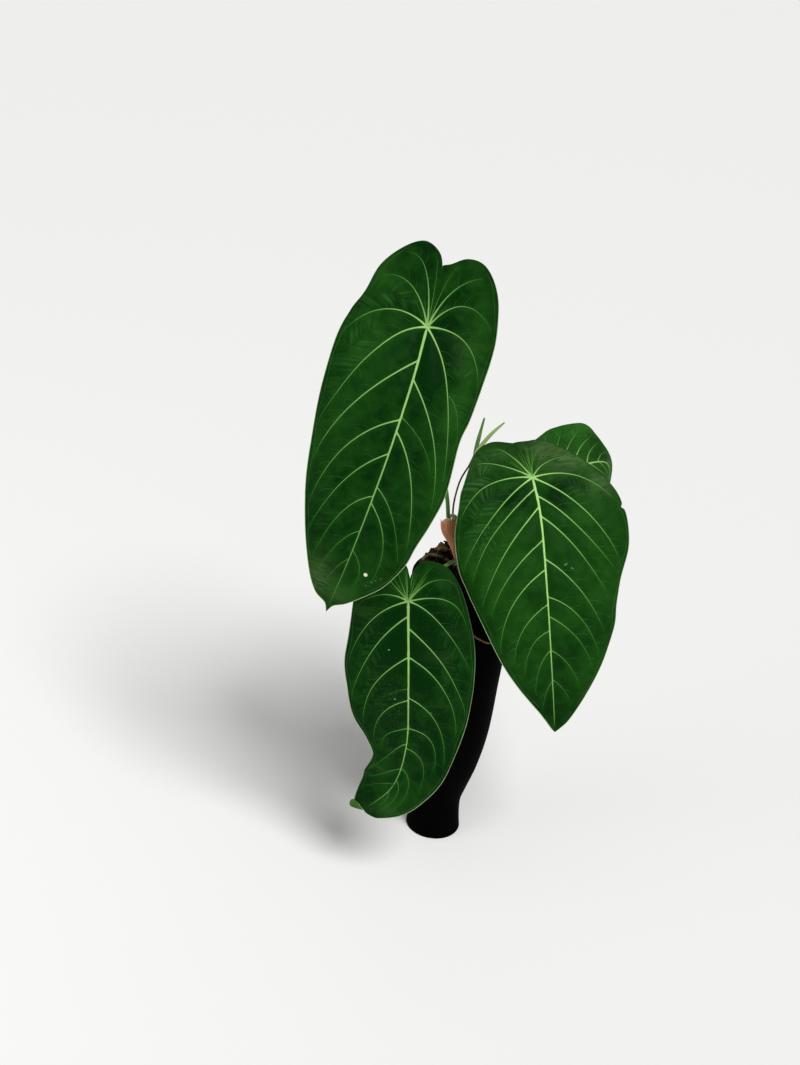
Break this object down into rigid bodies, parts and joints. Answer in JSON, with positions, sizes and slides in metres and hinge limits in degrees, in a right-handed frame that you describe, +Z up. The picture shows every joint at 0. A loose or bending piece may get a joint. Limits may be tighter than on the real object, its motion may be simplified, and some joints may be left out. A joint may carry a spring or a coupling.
{
  "type": "potted anthurium hybrid",
  "caption": "Potted velvet anthurium hybrid: pendant heart-shaped leaves on slim petioles, young flower stalk, papery sheaths and aerial roots in bark mix, in a tall black footed planter",
  "frame": {"origin": "middle of the planter's flat underside, on the surface it stands on", "axes": "+Z up, leaf faces towards -Y, +X to the right as seen from the front"},
  "size_m": [0.3397, 0.2563, 0.7236],
  "materials": {
    "pot_black": "matte",
    "bark_mix": "rough",
    "stem": "satin",
    "leaf_velvet": "velvety satin",
    "petiole_green": "satin",
    "peduncle": "satin",
    "spathe": "satin",
    "spadix": "satin",
    "sheath_red": "matte",
    "sheath_dry": "matte",
    "aerial_root": "matte"
  },
  "bodies": {
    "root": {"pot": "pot_black", "potting_mix": "bark_mix", "stem": "stem", "leaf_a": "leaf_velvet", "leaf_b": "leaf_velvet", "leaf_c": "leaf_velvet", "leaf_d": "leaf_velvet", "petiole_a": "petiole_green", "petiole_b": "petiole_green", "petiole_c": "petiole_green", "petiole_d": "petiole_green", "peduncle": "peduncle", "spathe": "spathe", "spadix": "spadix", "cataphyll_red": "sheath_red", "cataphyll_dry": "sheath_dry", "root_on_mix": "aerial_root", "root_back": "aerial_root", "root_over_rim": "aerial_root"}
  },
  "joints": []
}
